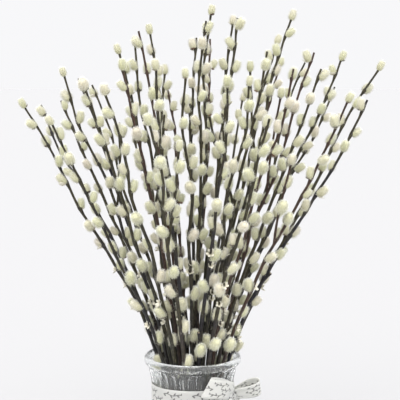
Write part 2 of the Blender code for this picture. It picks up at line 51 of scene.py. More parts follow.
# Vase
VASE_HEIGHT = 190 * MM
RIM_RADIUS = 54 * MM
LIP_THICKNESS = 5.6 * MM
NECK_RADIUS = 45 * MM
NECK_LOW = 130 * MM
NECK_HIGH = 157 * MM
FLARE_POWER = 1.7
BELLY_RADIUS = 62 * MM
BELLY_HEIGHT = 66 * MM
FOOT_RADIUS = 45 * MM
FOOT_ROUNDING = 3 * MM
WALL = 4 * MM
FLOOR = 8 * MM
FLOOR_RINGS = (0.6, 0.3, 0.0)
FINE_VASE_SIDES = 312
WALL_RINGS = 44
ROUNDING_STEPS = 6
LIP_STEPS = 12
LIP_HEIGHT = 9.2 * MM
LIP_UNDERCUT = radians(55)
LIP_FOOT = 0.6 * MM
OPTIC_RIBS = 26
RIB_DEPTH = 0.9 * MM
RIB_TWIST = 0.6

# Ribbon
RIBBON_WIDTH = 25 * MM
RIBBON_TOP = 159 * MM
RIBBON_TILT = 2 * MM
RIBBON_GAP = 0.8 * MM
CLOTH_THICKNESS = 0.4 * MM
# Each row of sprigs is its place across the ribbon, the length of half a wave and its shift along
SPRIG_ROWS = ((0.27, 8.4 * MM, 0.0), (0.0, 7.6 * MM, 0.4), (-0.28, 9.0 * MM, 0.7))
SPRIG_WAVE = 0.035
SPRIG_STEM = 0.02
SPRIG_GROUP = 4.0
SPRIG_GROUP_SHARE = 0.68
LEAF_SLANT = 0.13
LEAF_STAND = 0.06
LEAF_LONG = 0.34
LEAF_WIDE = 0.045
WARP_SPACING = 0.6 * MM
WEFT_THREADS = 42
KNOT_TURN = radians(-30)
KNOT_SIZE = (13 * MM, 10 * MM, 15 * MM)
KNOT_PINCH = 0.34
KNOT_RISE = 4.5 * MM
KNOT_OUT = Vector((cos(KNOT_TURN), sin(KNOT_TURN), 0))
KNOT_ALONG = KNOT_OUT.cross(UP)
KNOT_STAND = NECK_RADIUS + RIBBON_GAP + KNOT_SIZE[1] / 2
KNOT_HEIGHT = RIBBON_TOP - RIBBON_WIDTH / 2 + KNOT_RISE
RIBBON_ACROSS = [j / 8 - 0.5 for j in range(9)]
BAND_STEPS = 160
BAND_LIFT = 0.25 * MM
BAND_TRIM = 0.6 * MM
STRIP_FOLD = 1.3 * MM
STRIP_FOLDS = 1.5
STRIP_FOLD_SHIFT = 0.6
KNOT_STEPS = 32
KNOT_HOLLOW = 0.45
KNOT_CREASE = 0.07
KNOT_CREASES = 15
KNOT_CLOTH = (38 * MM, 0.6)
LOOP_STEPS = 48
LOOP_CLOTH_START = 13 * MM
LOOP_END_GAP = 1.5 * MM
LOOP_WIDENING_POWER = 0.3
TAILS = (
    Record(side=1, length=80 * MM, leaves=radians(14), arch=8 * MM),
    Record(side=-1, length=66 * MM, leaves=radians(-35), arch=3 * MM),
)
TAIL_POINTS = 60
TAIL_FALL = radians(-80)
TAIL_TURN = 0.4
TAIL_OPENING = 0.22
TAIL_STAND = 3 * MM
TAIL_DIP = 2 * MM
TAIL_FULL_WIDTH = 0.84
TAIL_RIPPLE = 1.2 * MM
TAIL_WAVES = 7
TAIL_CLOTH_START = 20 * MM
TAIL_NOTCH = 0.12
TAIL_NOTCH_START = 0.7
LOOPS = (
    Record(side=1, length=43 * MM, lean=radians(17), belly=0.15,
           slope=0.55, rise=0.42, lift=0.55, width=0.92),
    Record(side=-1, length=30 * MM, lean=radians(58), belly=0.24,
           slope=0.35, rise=0.26, lift=0.7, width=0.86),
)

# Branches: where each one ends, as across, away from the viewer and up, in millimetres, from left to right
BRANCH_TIPS = [
    (-180, -20, 466), (-173, 55, 466), (-155, 95, 470), (-140, -100, 452), (-134, -45, 500),
    (-127, 30, 496), (-120, 110, 488), (-112, -80, 496), (-84, -130, 482), (-80, 10, 524),
    (-75, 138, 468), (-72, -60, 506), (-66, 65, 534), (-57, -25, 546), (-47, 25, 546),
    (-40, -152, 454), (-35, -110, 506), (-32, 125, 490), (-6, -95, 498), (4, 65, 542),
    (15, -40, 556), (20, 10, 566), (20, 108, 542), (35, -128, 490), (45, 40, 557),
    (48, -25, 560), (58, -80, 490), (60, 145, 470), (75, -140, 458), (78, -50, 524),
    (94, 45, 535), (102, -92, 506), (103, 105, 512), (107, 0, 560), (129, 70, 514),
    (130, -15, 524), (133, -64, 506), (156, -98, 474), (165, 30, 517), (166, 95, 486),
    (184, -40, 474), (204, 10, 506),
]
FAN_ACROSS = 205 * MM
FAN_DEEP = 155 * MM
FAN_START = 162 * MM
NECK_PACK_RADIUS = 37 * MM
FOOT_PACK_RADIUS = 33 * MM
NECK_SPACING = 9.6 * MM
SPREADING_STEPS = 400
SPREADING_PUSH = 0.3
TWIST = radians(52)
LOW_SLOPE = 0.5
SLOPE_SHARE = 0.4
WANDER = 7 * MM
WANDER_GROWTH = 1.3
VASE_BENDS = (0.35, 0.7)
FAN_BENDS = (0.14, 0.3, 0.48, 0.66, 0.84, 1.0)
FOOT_THICKNESS = 5.4 * MM
TIP_THICKNESS = 2.2 * MM
TAPER_POWER = 1.2
THICKNESS_SPREAD = (0.9, 1.08)
UPRIGHT_FOOT = 10 * MM
REST_GAP = 0.3 * MM
STEM_STEPS = 220
CURVE_STEPS = 55

# Side shoots: the branch each grows from, and where along it
SHOOTS = (
    (4, 0.70), (9, 0.66), (12, 0.74), (15, 0.70), (19, 0.66),
    (24, 0.72), (29, 0.68), (33, 0.72), (35, 0.70), (37, 0.66),
)
SHOOT_LENGTH = 105 * MM
SHOOT_LENGTH_SPREAD = (0.85, 1.1)
SHOOT_ANGLE = radians(18)
SHOOT_BENDS = (0, 0.25, 0.5, 0.75, 1)
SHOOT_UPTURN = 0.85
SHOOT_SIDES_TRIED = 16
SHOOT_START_SHARE = 0.85
SHOOT_STEPS = 50
SHOOT_TEST_STEP = 5
OUTWARD_COST = 0.35

# Catkins, as the solids place them
CATKIN_LENGTH = 13 * MM
CATKIN_WIDTH = 10.4 * MM
CATKIN_SIZE_SPREAD = (0.9, 1.08)
CATKIN_LOW_GROWTH = 0.22
CATKIN_SPACING = 24 * MM
CATKIN_SPACING_SPREAD = (0.72, 1.22)
CATKIN_LOW_THINNING = 3.2
CATKIN_LEAN = radians(32)
CATKIN_LEAN_SPREAD = (0.65, 1.3)
CATKIN_LOW_LEAN = 0.45
CATKIN_LOWEST = 168 * MM
CATKIN_SINK = 1.6 * MM
CATKIN_STAND = 0.9
CATKIN_GAP = 1.2 * MM
OWN_CATKIN_OVERLAP = 0.5 * MM
TURNS_TRIED = (0, 0.4, -0.4, 0.8, -0.8, 1.3, -1.3, 1.9, -1.9, 2.5, -2.5, 3.1)
TIP_CATKIN_SIZE = 0.9
TIP_CATKIN_LEAN = (0.05, 0.2)
BARE_TIP_SHARE = 0.45
BARE_TIP_LENGTH = (8 * MM, 16 * MM)
SHOOT_BARE_FOOT = 12 * MM
BALL_PLACES = (0.30, 0.52, 0.76)
BALL_SIZES = (0.44, 0.5, 0.40)

# Fine bark
BARK_SIDES = 8
BARK_TURNS = np.arange(BARK_SIDES) * TURN / BARK_SIDES
BARK_DARK_HEIGHT = 361 * MM
BARK_WAVES = (0.31, 0.48, 0.65)
NODE_BUMP = 2.3 * MM
NODE_RISE = 9 * MM
NODE_DROP = 1.6 * MM
NODE_FULLNESS = 1.35
NODE_AROUND = 0.15
NODE_KINK = 1.2 * MM
NODE_KINK_REACH = 9 * MM
TIP_NODE_BUMP = 0.35 * MM
TIP_LEAN_LIMIT = 0.3
BARK_UNEVENNESS = 0.05
BARK_LOW_TONES = (
    (0.0, (0.036, 0.032, 0.046)),
    (0.32, (0.052, 0.049, 0.044)),
    (0.44, (0.108, 0.105, 0.061)),
    (0.56, (0.050, 0.046, 0.050)),
    (0.78, (0.130, 0.091, 0.068)),
    (1.0, (0.040, 0.035, 0.048)),
)

# Fine catkins
FUR_VARIANTS = 10
CORE_SIDES = 10
CORE_RINGS = 7
CORE_SHARE = 0.76
CORE_START = 0.04
CORE_END = 0.94
CORE_TIP = 0.96
LOBE_SIZE = 0.03
CORE_STEP = 0.02
EGG_SKEW = 0.88
EGG_BLUNTNESS = 2.2
HAIRS = 1000
HAIRS_END = 0.9
HAIR_ASIDE = 0.3
HAIR_ROOT_DEPTH = 0.25
HAIR_LENGTH = (1.8 * MM, 3.1 * MM)
HAIR_WIDTH = (0.2 * MM, 0.34 * MM)
HAIR_RAISE = (radians(38), radians(80))
HAIR_STRAY = 0.25
FLAT_MAP = "OFBake"
FLAT_CORE = 0.2
FLAT_HAIR = 0.25
FLAT_HAIR_WIDTH = 0.02
FLAT_MARGIN = 0.05

# Bud scales, the husks left at the foot of the catkins; each form is its length, spread and flare
SCALE_SHARE = 0.5
SCALE_ROWS = 5
SCALE_COLUMNS = 5
SCALE_THICKNESS = 0.16 * MM
SCALE_STAND = 1.04
SCALE_ROLL = 1.1
SCALE_FOOT = 0.02
SCALE_POINT = 0.85
SCALE_POINT_POWER = 2.2
SCALE_CUPS = ((0.15, 1.3, 0.0), (0.20, 0.9, 0.03), (0.12, 1.8, 0.02))
SCALE_PAPERS = ((0.34, 1.0, 0.30), (0.28, 1.5, 0.45), (0.42, 0.7, 0.2))
TUFT_PETALS = ((0.46, 0.62, 0.36), (0.38, 0.7, 0.5), (0.54, 0.52, 0.26))
PAPERY_SHARE = 0.3

# Papery tufts, where a low catkin has opened or dropped
TUFT_HEIGHTS = (205 * MM, 325 * MM)
TUFT_SHARE = 0.7
MOST_TUFTS = 2
TUFT_TRIES = 8
TUFT_SCALES = 6
TUFT_SIZE = (0.48, 0.66)
TUFT_LEAN = radians(52)
TUFT_ASIDE = 0.7
TUFT_UNEVENNESS = 0.3
TUFT_CLEARANCE = 2.2 * MM

# Cut stubs of side shoots: the branch each stands on, and where along it
STUBS = (
    (2, 0.46), (7, 0.40), (11, 0.52), (16, 0.38), (20, 0.50),
    (23, 0.42), (26, 0.37), (31, 0.48), (36, 0.41), (40, 0.55),
)
STUB_LENGTH = (12 * MM, 18 * MM)
STUB_ANGLE = radians(21)
STUB_THICKNESS = 0.85
STUB_STEPS = 12
STUB_SIDES_TRIED = 12

# Patterns of the materials, noise as scale, detail and stretch
BARK_STREAKS = (1400, 4, (1, 1, 0.09))
BARK_STREAK_RANGE = (0.42, 0.76)
BARK_PATCHES = (45, 2)
BARK_UPPER_RANGE = (0.62, 0.95)
BARK_UPPER_HEIGHT_SHARE = 0.5
BARK_UPPER_TONE_SHARE = 0.35
BARK_BROWN_FROM = 0.8
SPECK_SCALE = 420
SPECK_SIZE = 0.16
SPECK_SHARE = 0.35
CUT_SHARE = 0.8
# How far up a catkin the painted shade at its foot reaches, and how strong it is at the foot
FUR_SHADE_REACH = 0.58
FUR_SHADE_STRENGTH = 0.9
HUSK_GRAIN = (1500, 2)
HUSK_TIP_SHARE = 0.7
GLASS_WAVES = (160, 2, (1, 1, 0.3))
CLOTH_PATCHES = (70, 2)
INK_WEAR = (900, 2)
INK_LEAST = 0.35

# Colours of the materials
BARK_SHADE = (0.0035, 0.0028, 0.0050)
BARK_OLIVE = ((0.012, 0.010, 0.004), (0.088, 0.076, 0.036))
BARK_BROWN = ((0.020, 0.010, 0.007), (0.108, 0.060, 0.038))
BARK_SPECK = (0.20, 0.17, 0.13)
BARK_CUT = (0.42, 0.35, 0.25)
FUR_CORE = ((0.0, (0.57, 0.57, 0.36)), (0.7, (0.62, 0.60, 0.42)), (1.0, (0.65, 0.60, 0.48)))
FUR_HAIR = ((0.0, (0.97, 0.98, 0.93)), (0.7, (0.98, 0.98, 0.95)), (1.0, (0.98, 0.97, 0.95)))
# The darker olive painted as shade towards each catkin's foot
FUR_FOOT_SHADE = (0.44, 0.44, 0.25)
FUR_SHEEN = (1.0, 0.985, 0.95)
HUSK_BROWN = ((0.0, (0.030, 0.018, 0.012)), (0.6, (0.085, 0.040, 0.022)), (1.0, (0.20, 0.10, 0.045)))
HUSK_PALE = ((0.0, (0.52, 0.48, 0.36)), (1.0, (0.74, 0.70, 0.58)))
HUSK_TIP = (0.80, 0.79, 0.70)
GLASS_TINT = (0.955, 0.975, 0.968)
CLOTH_TONES = ((0.52, 0.52, 0.485), (0.62, 0.62, 0.575))
INK = (0.055, 0.055, 0.055)

# Stage: each light's name, the direction it comes from, strength, angle and colour
LIGHTS = (
    ("key", (-0.35, -1.0, 1.2), 2.6, radians(60), (1.0, 0.985, 0.96)),
    ("fill", (0.9, -0.6, 0.5), 1.4, radians(80), (0.98, 0.99, 1.0)),
)
CARD_TURNS = [radians(a) for a in (-38, 14, 70, 128, 176, 232, 280)]
CARD_WIDTH = 30 * MM
CARD_LENGTH = 420 * MM
CARD_NEAR = 90 * MM
CARD_HEIGHT = 4 * MM
CARD_RADIANCE = 4.2
SURROUND_COLOUR = (0.985, 0.985, 1.0)
SURROUND_STRENGTH = 0.95
FLOOR_REACH = 40.0
FLOOR_SIDES = 64


def smoothstep(x):
    x = min(max(x, 0.0), 1.0)
    return x * x * (3 - 2 * x)


def vase_radius(z):
    """Outer radius of the vase at height z."""
    if z >= NECK_HIGH:
        flare = (z - NECK_HIGH) / (VASE_HEIGHT - NECK_HIGH)
        return NECK_RADIUS + (RIM_RADIUS - NECK_RADIUS) * flare**FLARE_POWER
    if z >= NECK_LOW:
        return NECK_RADIUS
    if z >= BELLY_HEIGHT:
        rise = (z - BELLY_HEIGHT) / (NECK_LOW - BELLY_HEIGHT)
        return BELLY_RADIUS + (NECK_RADIUS - BELLY_RADIUS) * smoothstep(rise)
    return FOOT_RADIUS + (BELLY_RADIUS - FOOT_RADIUS) * sin(z / BELLY_HEIGHT * pi / 2)


def spread_in_neck():
    """Where each branch passes the neck: on its tip's side of the axis, pushed apart until none touch."""
    tips = np.array(BRANCH_TIPS)[:, :2] * MM
    home = tips / (FAN_ACROSS, FAN_DEEP) * NECK_PACK_RADIUS
    for _ in range(SPREADING_STEPS):
        apart = home[:, None] - home[None]
        distance = np.hypot(apart[..., 0], apart[..., 1]) + np.eye(len(home))
        push = np.clip(NECK_SPACING - distance, 0, None) * (1 - np.eye(len(home)))
        home = home + SPREADING_PUSH * (apart / distance[..., None] * push[..., None]).sum(axis=1)
        radius = np.hypot(home[:, 0], home[:, 1])
        home = home * np.minimum(1, NECK_PACK_RADIUS / np.maximum(radius, MERGE))[:, None]
    return home


def turned(point, angle):
    c, s = cos(angle), sin(angle)
    return np.array([c * point[0] - s * point[1], s * point[0] + c * point[1]])


def fan_share(s):
    """How far a branch has come from the neck to its tip sideways, at the share s of its height."""
    high_slope = (1 - LOW_SLOPE * SLOPE_SHARE / 2) / (1 - SLOPE_SHARE / 2)
    u = min(s / SLOPE_SHARE, 1.0)
    bent = SLOPE_SHARE * (u**3 - u**4 / 2) + max(s - SLOPE_SHARE, 0.0)
    return LOW_SLOPE * s + (high_slope - LOW_SLOPE) * bent


def smooth_path(knots, steps):
    """Points evenly spaced along a smooth curve through the knots, however far apart the knots are."""
    knots = np.array(knots)
    gaps = norm(np.diff(knots, axis=0), axis=1)
    slopes = np.diff(knots, axis=0) / gaps[:, None]
    nearer = (gaps[1:] / (gaps[1:] + gaps[:-1]))[:, None]
    tangents = np.vstack([slopes[:1], slopes[:-1] * nearer + slopes[1:] * (1 - nearer), slopes[-1:]])
    t = np.linspace(0, 1, CURVE_STEPS, endpoint=False)[:, None]
    points = []
    for k, gap in enumerate(gaps):
        leaving = (t - 2 * t**2 + t**3) * gap * tangents[k]
        reaching = (t**3 - t**2) * gap * tangents[k + 1]
        points.append(knots[k] + (3 * t**2 - 2 * t**3) * (knots[k + 1] - knots[k]) + leaving + reaching)
    points = np.vstack([*points, knots[-1:]])
    along = np.concatenate([[0], np.cumsum(norm(np.diff(points, axis=0), axis=1))])
    wanted = np.linspace(0, along[-1], steps)
    return np.stack([np.interp(wanted, along, points[:, k]) for k in range(3)], axis=1)


def stem_path(home, tip, rng):
    """The centre line of one branch, from the vase's floor through the neck to its tip."""
    tip = np.array(tip) * MM
    gather = FOOT_PACK_RADIUS / NECK_PACK_RADIUS
    base = FLOOR + REST_GAP
    foot = turned(home, -TWIST) * gather
    knots = [(*foot, base), (*foot, base + UPRIGHT_FOOT)]
    for share in VASE_BENDS:
        sideways = turned(home, -TWIST * (1 - share) ** 2) * gather
        knots.append((*sideways, base + (FAN_START - base) * share))
    knots.append((*home, FAN_START))
    for share in FAN_BENDS:
        wander = np.array([rng.uniform(-1, 1), rng.uniform(-1, 1)]) * WANDER * share**WANDER_GROWTH
        sideways = home + (tip[:2] - home) * fan_share(share) + wander * (share < 1)
        knots.append((*sideways, FAN_START + (tip[2] - FAN_START) * share))
    return smooth_path(knots, STEM_STEPS)


def direction_at(path, k):
    """Unit direction of a path at its point k."""
    d = path[min(k + 1, len(path) - 1)] - path[max(k - 1, 0)]
    return d / norm(d)


def sideways_of(direction, angle):
    """A unit direction square to the one given, at an angle round it."""
    across = np.cross(direction, (0.0, 1.0, 0.0))
    across /= norm(across)
    over = np.cross(across, direction)
    return across * cos(angle) + over * sin(angle)


def shoot_path(path, share, angle, length):
    """The centre line of a side shoot, which leaves the branch at a share of its length and bends upwards."""
    k = int(share * (len(path) - 1))
    d = direction_at(path, k)
    reach = sideways_of(d, angle) * length * tan(SHOOT_ANGLE)
    knots = [path[k] + d * length * t + reach * t**SHOOT_UPTURN for t in SHOOT_BENDS]
    return smooth_path(knots, SHOOT_STEPS)


def other_stems(axes, axis):
    return np.vstack([a.path for a in axes if a is not axis])


def roomiest_shoot(parent, share, axes, rng):
    """The side shoot of a branch that stays furthest from the other stems, without leaving the bunch."""
    others = other_stems(axes, parent)

    def room(path):
        nearest = norm(others[None] - path[::SHOOT_TEST_STEP, None], axis=2).min()
        return nearest - OUTWARD_COST * norm(path[-1][:2])

    tried = []
    for n in range(SHOOT_SIDES_TRIED):
        length = SHOOT_LENGTH * rng.uniform(*SHOOT_LENGTH_SPREAD)
        tried.append(shoot_path(parent.path, share, n * TURN / SHOOT_SIDES_TRIED, length))
    return max(tried, key=room)


def all_axes():
    """The centre lines of the bunch, each with its branch's number and its radius at every point."""
    rng = random.Random(SEED)
    axes = []
    for number, (home, tip) in enumerate(zip(spread_in_neck(), BRANCH_TIPS)):
        path = stem_path(home, tip, rng)
        stout = rng.uniform(*THICKNESS_SPREAD)
        taper = np.linspace(0, 1, len(path)) ** TAPER_POWER
        radii = stout * (FOOT_THICKNESS + (TIP_THICKNESS - FOOT_THICKNESS) * taper) / 2
        axes.append(Record(branch=number, path=path, radii=radii, shoot=False))
    for number, share in SHOOTS:
        parent = axes[number]
        path = roomiest_shoot(parent, share, axes, rng)
        start = parent.radii[int(share * (len(parent.radii) - 1))] * SHOOT_START_SHARE
        radii = np.linspace(start, TIP_THICKNESS / 2, len(path))
        axes.append(Record(branch=number, path=path, radii=radii, shoot=True))
    return axes


def catkin_balls(catkin):
    """Centres and radii of the three balls that fill a catkin, to test what it touches."""
    centres = catkin.root + np.outer(BALL_PLACES, catkin.axis) * catkin.length
    return centres, np.array(BALL_SIZES) * catkin.width


def clear_of_vase(centres, radii):
    for (x, y, z), r in zip(centres, radii):
        out = hypot(x, y)
        lip = hypot(out - RIM_RADIUS + LIP_THICKNESS / 2, z - VASE_HEIGHT + LIP_THICKNESS / 2)
        if lip < r + LIP_THICKNESS / 2 + CATKIN_GAP:
            return False
        if z < VASE_HEIGHT and out + r + CATKIN_GAP > vase_radius(z) - WALL:
            return False
    return True


def gaps_to(others, centres, radii):
    """The gap from each ball to each of the others, which are points, radii and branch numbers."""
    return norm(others[0][None] - centres[:, None], axis=2) - others[1] - radii[:, None]


def is_clear(catkin, stems, balls):
    """Whether a catkin stays clear of the vase, of every other branch and of the catkins placed before it."""
    centres, radii = catkin_balls(catkin)
    if not clear_of_vase(centres, radii):
        return False
    strange = stems[2] != catkin.branch
    if (gaps_to(stems, centres, radii)[:, strange] < CATKIN_GAP).any():
        return False
    least = np.where(balls[2] == catkin.branch, -OWN_CATKIN_OVERLAP, CATKIN_GAP)
    return not (gaps_to(balls, centres, radii) < least).any()


def catkin_at(axis, k, angle, lean, size, at_tip):
    """A catkin that leaves point k of a centre line at an angle round it, from beside the stem or its tip."""
    d = direction_at(axis.path, k)
    away = sideways_of(d, angle)
    pointing = d * cos(lean) + away * sin(lean)
    stand = 0.0 if at_tip else axis.radii[k] * CATKIN_STAND
    return Record(
        branch=axis.branch,
        shoot=axis.shoot,
        root=axis.path[k] - d * CATKIN_SINK + away * stand,
        axis=pointing / norm(pointing),
        length=CATKIN_LENGTH * size,
        width=CATKIN_WIDTH * size,
        k=k,
        angle=angle,
        away=away,
        lean=lean,
        size=size,
    )


def place_catkins(axes):
    """Catkins up every stem and shoot, in a spiral, each turned to the nearest side where it has room."""
    rng = random.Random(SEED + 1)
    owners = np.concatenate([[a.branch] * len(a.path) for a in axes])
    stems = (np.vstack([a.path for a in axes]), np.concatenate([a.radii for a in axes]), owners)
    balls = (np.zeros((0, 3)), np.zeros(0), np.zeros(0))
    placed = []
    for axis in axes:
        path = axis.path
        length = norm(np.diff(path, axis=0), axis=1).sum()
        turn = rng.uniform(0, TURN)
        bare = rng.random() < BARE_TIP_SHARE
        down = rng.uniform(*BARE_TIP_LENGTH) if bare else 0.0
        lowest = length - (SHOOT_BARE_FOOT if axis.shoot else 0)
        first = True
        while down < lowest:
            k = int(round((1 - down / length) * (len(path) - 1)))
            if path[k][2] < CATKIN_LOWEST:
                break
            at_tip = first and not bare
            size = rng.uniform(*CATKIN_SIZE_SPREAD) * (1 + CATKIN_LOW_GROWTH * down / length)
            size *= TIP_CATKIN_SIZE if at_tip else 1.0
            lean = CATKIN_LEAN * rng.uniform(*CATKIN_LEAN_SPREAD)
            lean *= 1 - (1 - CATKIN_LOW_LEAN) * down / length
            lean = rng.uniform(*TIP_CATKIN_LEAN) if at_tip else lean
            for aside in TURNS_TRIED:
                catkin = catkin_at(axis, k, turn + aside, lean, size, at_tip)
                if is_clear(catkin, stems, balls):
                    centres, radii = catkin_balls(catkin)
                    added = (centres, radii, [catkin.branch] * len(radii))
                    balls = tuple(np.concatenate(pair) for pair in zip(balls, added))
                    placed.append(catkin)
                    turn += aside
                    break
            turn += GOLDEN_ANGLE
            thinning = 1 + CATKIN_LOW_THINNING * (down / length) ** 2
            down += CATKIN_SPACING * rng.uniform(*CATKIN_SPACING_SPREAD) * thinning
            first = False
    return placed


def given(made, **settings):
    """The thing passed, with these settings."""
    for name, value in settings.items():
        setattr(made, name, value)
    return made


def linked(name, data):
    """An object of the scene that holds this data."""
    made = bpy.data.objects.new(name, data)
    bpy.context.scene.collection.objects.link(made)
    return made


def mesh_object(name, points, faces, material):
    mesh = bpy.data.meshes.new(name)
    mesh.from_pydata(points, [], faces)
    mesh.polygons.foreach_set("use_smooth", np.full(len(mesh.polygons), True))
    mesh.materials.append(material)
    return linked(name, mesh)


def add_flat_map(mesh, name, flats):
    """A map that gives every corner of a mesh its point's place on the flat."""
    corners = np.empty(len(mesh.loops), dtype=np.int32)
    mesh.loops.foreach_get("vertex_index", corners)
    layer = mesh.uv_layers.new(name=name)
    layer.uv.foreach_set("vector", np.array(flats)[corners].astype(np.float32).ravel())


class Shape:
    """Points, faces, three numbers for every point and sometimes a flat map, gathered from several parts."""

    def __init__(self):
        self.points, self.faces, self.data, self.flats = [], [], [], []
        self.count = 0

    def add(self, points, faces, data, flats=None):
        self.points.append(points)
        self.faces.append(np.asarray(faces) + self.count)
        self.data.append(data)
        self.count += len(points)
        if flats is not None:
            self.flats.append(flats)

    def make(self, name, attribute, material):
        """The gathered shape as an object."""
        made = mesh_object(name, np.vstack(self.points).tolist(), np.vstack(self.faces).tolist(), material)
        held = made.data.attributes.new(attribute, "FLOAT_VECTOR", "POINT")
        held.data.foreach_set("vector", np.vstack(self.data).astype(np.float32).ravel())
        if self.flats:
            add_flat_map(made.data, FLAT_MAP, np.vstack(self.flats))
        return made


def grid_faces(rows, columns, closed):
    """Triangles of a grid of points, row after row, whose columns may close on themselves."""
    faces = []
    last = columns if closed else columns - 1
    for i in range(rows - 1):
        for j in range(last):
            a, b = i * columns + j, i * columns + (j + 1) % columns
            c, d = a + columns, b + columns
            faces += [(a, b, d), (a, d, c)]
    return np.array(faces)


def tube_faces(rows, sides):
    """Triangles of a tube of rings of points, whose ends close towards the two points that follow them."""
    faces = list(grid_faces(rows, sides, True))
    for row in (0, rows - 1):
        ring = [row * sides + j for j in range(sides)]
        centre = rows * sides + (row > 0)
        faces += [(a, b, centre) if row else (b, a, centre) for a, b in zip(ring, ring[1:] + ring[:1])]
    return np.array(faces)


def with_nodes(axis, catkins):
    """The centre line, bent a little away from each catkin, and how far the bark swells round it."""
    path = axis.path.copy()
    step = norm(path[1] - path[0])
    bumps = np.zeros((len(path), BARK_SIDES))
    for catkin in catkins:
        s = (np.arange(len(path)) - catkin.k) * step
        rise = np.clip(1 + s / NODE_RISE, 0, 1) ** NODE_FULLNESS * np.clip(1 - s / NODE_DROP, 0, 1)
        if catkin.lean < TIP_LEAN_LIMIT:
            bumps = np.maximum(bumps, (rise * TIP_NODE_BUMP)[:, None])
            continue
        facing = np.clip(NODE_AROUND + (1 - NODE_AROUND) * np.cos(BARK_TURNS - catkin.angle), 0, 1)
        bumps = np.maximum(bumps, (rise * NODE_BUMP * catkin.size)[:, None] * facing)
        path -= np.outer(np.exp(-np.abs(s) / NODE_KINK_REACH) * NODE_KINK, catkin.away)
    return path, bumps


def add_bark(shape, axis, catkins, tone, rng):
    """The bark of one stem or shoot: a tube that swells under each catkin, with both ends cut off."""
    path, bumps = with_nodes(axis, catkins)
    points, data = [], []
    lumps = [rng.uniform(0, TURN) for _ in BARK_WAVES]
    for k, point in enumerate(path):
        d = direction_at(path, k)
        height = min(max((point[2] - VASE_HEIGHT) / BARK_DARK_HEIGHT, 0.0), 1.0)
        waves = sum(sin(k * wave + lump) for wave, lump in zip(BARK_WAVES, lumps))
        for j, angle in enumerate(BARK_TURNS):
            r = axis.radii[k] * (1 + BARK_UNEVENNESS * waves / 2) + bumps[k, j]
            points.append(point + sideways_of(d, angle) * r)
            data.append((height, tone, 0.0))
    points += [path[0], path[-1]]
    data += [(1.0, tone, 1.0)] * 2
    shape.add(np.array(points), tube_faces(len(path), BARK_SIDES), np.array(data))


def egg_share(u):
    """A catkin's radius, as a share of its width, at the share u of its length."""
    v = min(max(u, 0.0), 1.0) ** EGG_SKEW
    return 0.5 * (1 - abs(2 * v - 1) ** EGG_BLUNTNESS) ** (1 / EGG_BLUNTNESS)


def fur_variant(rng):
    """One catkin of the usual size with its root at the origin and its tip along +Z: a core and its hairs."""
    points, data, flats = [], [], []
    # The third turn isn't used, and is drawn so that every later draw stays the same
    lobes = [rng.uniform(0, TURN) for _ in range(3)]

    def surface(u, angle):
        lobe = 1 + LOBE_SIZE * (sin(2 * angle + lobes[0]) + sin(3 * angle + 5 * u + lobes[1]))
        r = egg_share(u) * CATKIN_WIDTH * CORE_SHARE * lobe
        return np.array([cos(angle) * r, sin(angle) * r, u * CATKIN_LENGTH])

    for i in range(CORE_RINGS):
        u = CORE_START + (CORE_END - CORE_START) * i / (CORE_RINGS - 1)
        for j in range(CORE_SIDES):
            points.append(surface(u, TURN * j / CORE_SIDES))
            data.append((0.0, u))
            flats.append((FLAT_CORE * j / CORE_SIDES, u))
    for u in (0.0, CORE_TIP):
        points.append(np.array([0, 0, u * CATKIN_LENGTH]))
        data.append((0.0, u))
        flats.append((FLAT_CORE / 2, u))
    hairs = np.arange(3 * HAIRS).reshape(-1, 3) + len(points)
    for n in range(HAIRS):
        u = CORE_START + (HAIRS_END - CORE_START) * (n + rng.random()) / HAIRS
        angle = n * GOLDEN_ANGLE + rng.uniform(-HAIR_ASIDE, HAIR_ASIDE)
        root = surface(u, angle)
        up = surface(u + CORE_STEP, angle) - root
        up /= norm(up)
        side = np.array([-sin(angle), cos(angle), 0])
        raised = rng.uniform(*HAIR_RAISE)
        grow = up * cos(raised) + np.cross(side, up) * sin(raised)
        grow += side * rng.uniform(-HAIR_STRAY, HAIR_STRAY)
        half = side * rng.uniform(*HAIR_WIDTH) / 2
        points += [root - half, root + half, root + grow * rng.uniform(*HAIR_LENGTH)]
        data += [(HAIR_ROOT_DEPTH, u), (HAIR_ROOT_DEPTH, u), (1.0, u)]
        flats += [(FLAT_HAIR, u - FLAT_HAIR_WIDTH), (FLAT_HAIR, u + FLAT_HAIR_WIDTH), (1.0, u)]
    faces = np.vstack([tube_faces(CORE_RINGS, CORE_SIDES), hairs])
    return np.array(points), faces, np.array(data), np.array(flats)


def placed_on(catkin, points, roll):
    """Points of a shape made at the origin, moved on to a catkin and turned round it."""
    z = catkin.axis
    x = catkin.away - z * catkin.away.dot(z)
    x /= norm(x)
    y = np.cross(z, x)
    c, s = cos(roll), sin(roll)
    return catkin.root + points @ np.stack([x * c + y * s, y * c - x * s, z]) * catkin.size


def add_fur(shape, catkin, variant, cell, cells, rng):
    """One catkin's fur, with its own cell of the flat map, of so many cells a side."""
    points, faces, data, flats = variant
    placed = placed_on(catkin, points, rng.uniform(0, TURN))
    tint = np.full((len(points), 1), rng.random())
    corner = np.array([cell % cells, cell // cells]) + FLAT_MARGIN
    flats = (corner + flats * (1 - 2 * FLAT_MARGIN)) / cells
    shape.add(placed, faces, np.hstack([data[:, :1], tint, data[:, 1:]]), flats)


